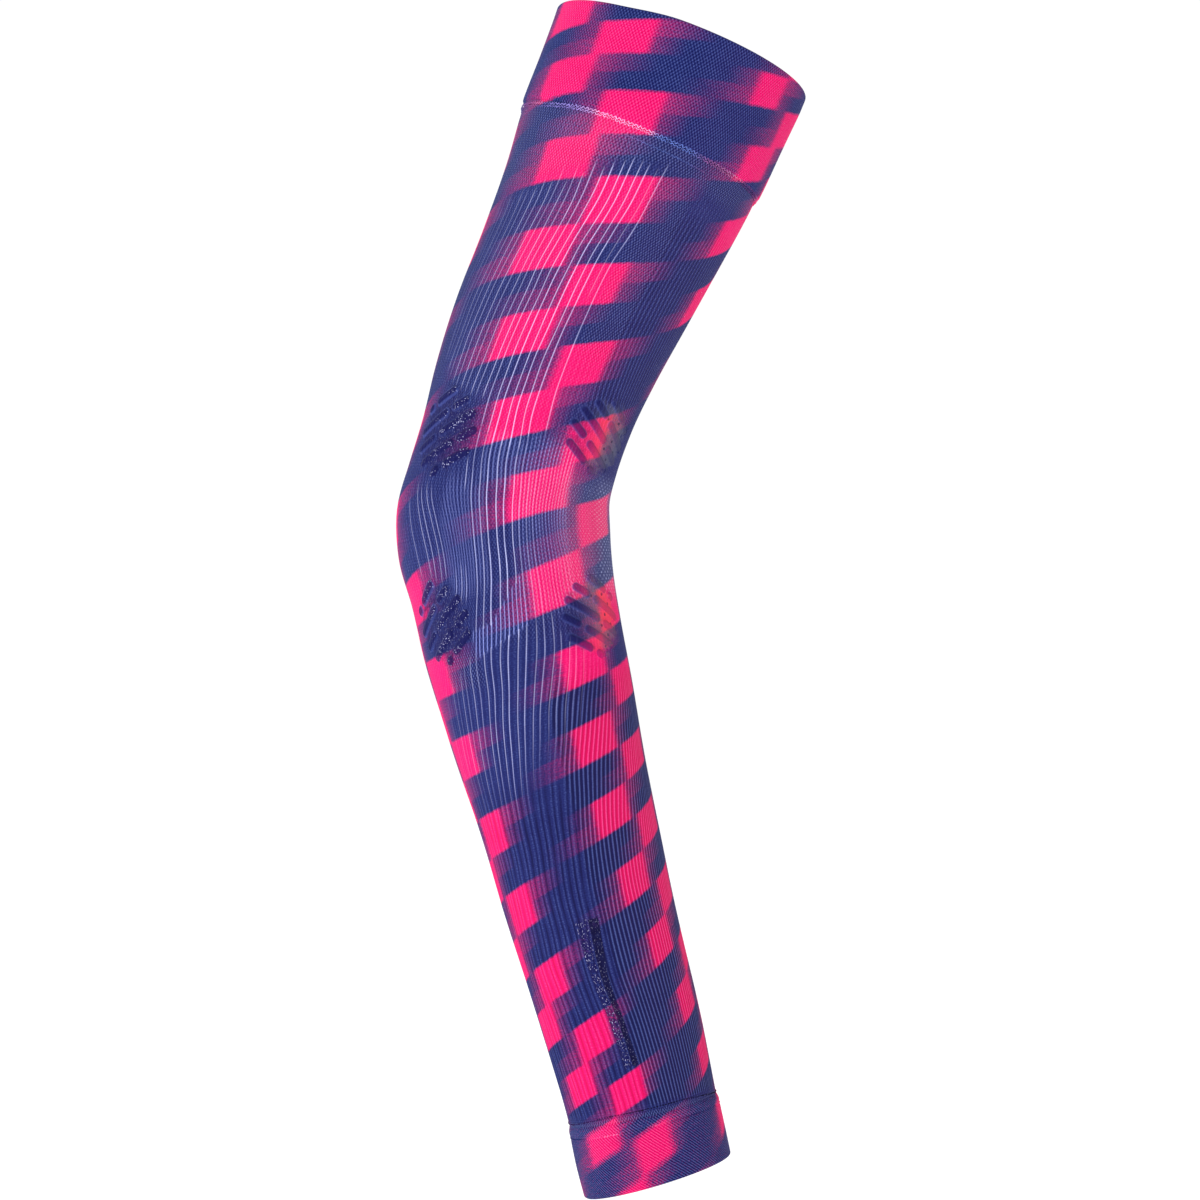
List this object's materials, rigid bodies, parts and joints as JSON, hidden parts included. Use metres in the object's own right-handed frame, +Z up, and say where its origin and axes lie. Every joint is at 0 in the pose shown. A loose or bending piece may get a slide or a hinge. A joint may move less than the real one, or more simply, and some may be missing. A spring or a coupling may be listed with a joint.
{
  "type": "arm sleeve",
  "caption": "Knitted compression arm sleeve: a ribbed tube, bent at the elbow, between a wide upper-arm cuff and a narrow wrist cuff, open at both ends.",
  "frame": {"origin": "middle of the upper opening, where the sleeve grips the upper arm that holds it up", "axes": "+Z up the hanging arm; the arm bends in the X-Z plane, with the point of the elbow towards -X and its crook towards +X; -Y is the side the picture shows"},
  "size_m": [0.1515, 0.0986, 0.4412],
  "materials": {
    "cuff_knit": "fine double knit, navy with pink ombre checks",
    "body_knit": "rib knit, navy with pink ombre checks and pale rib grooves"
  },
  "bodies": {
    "root": {"upper_cuff": "cuff_knit", "sleeve_body": "body_knit", "wrist_cuff": "cuff_knit"}
  },
  "joints": []
}
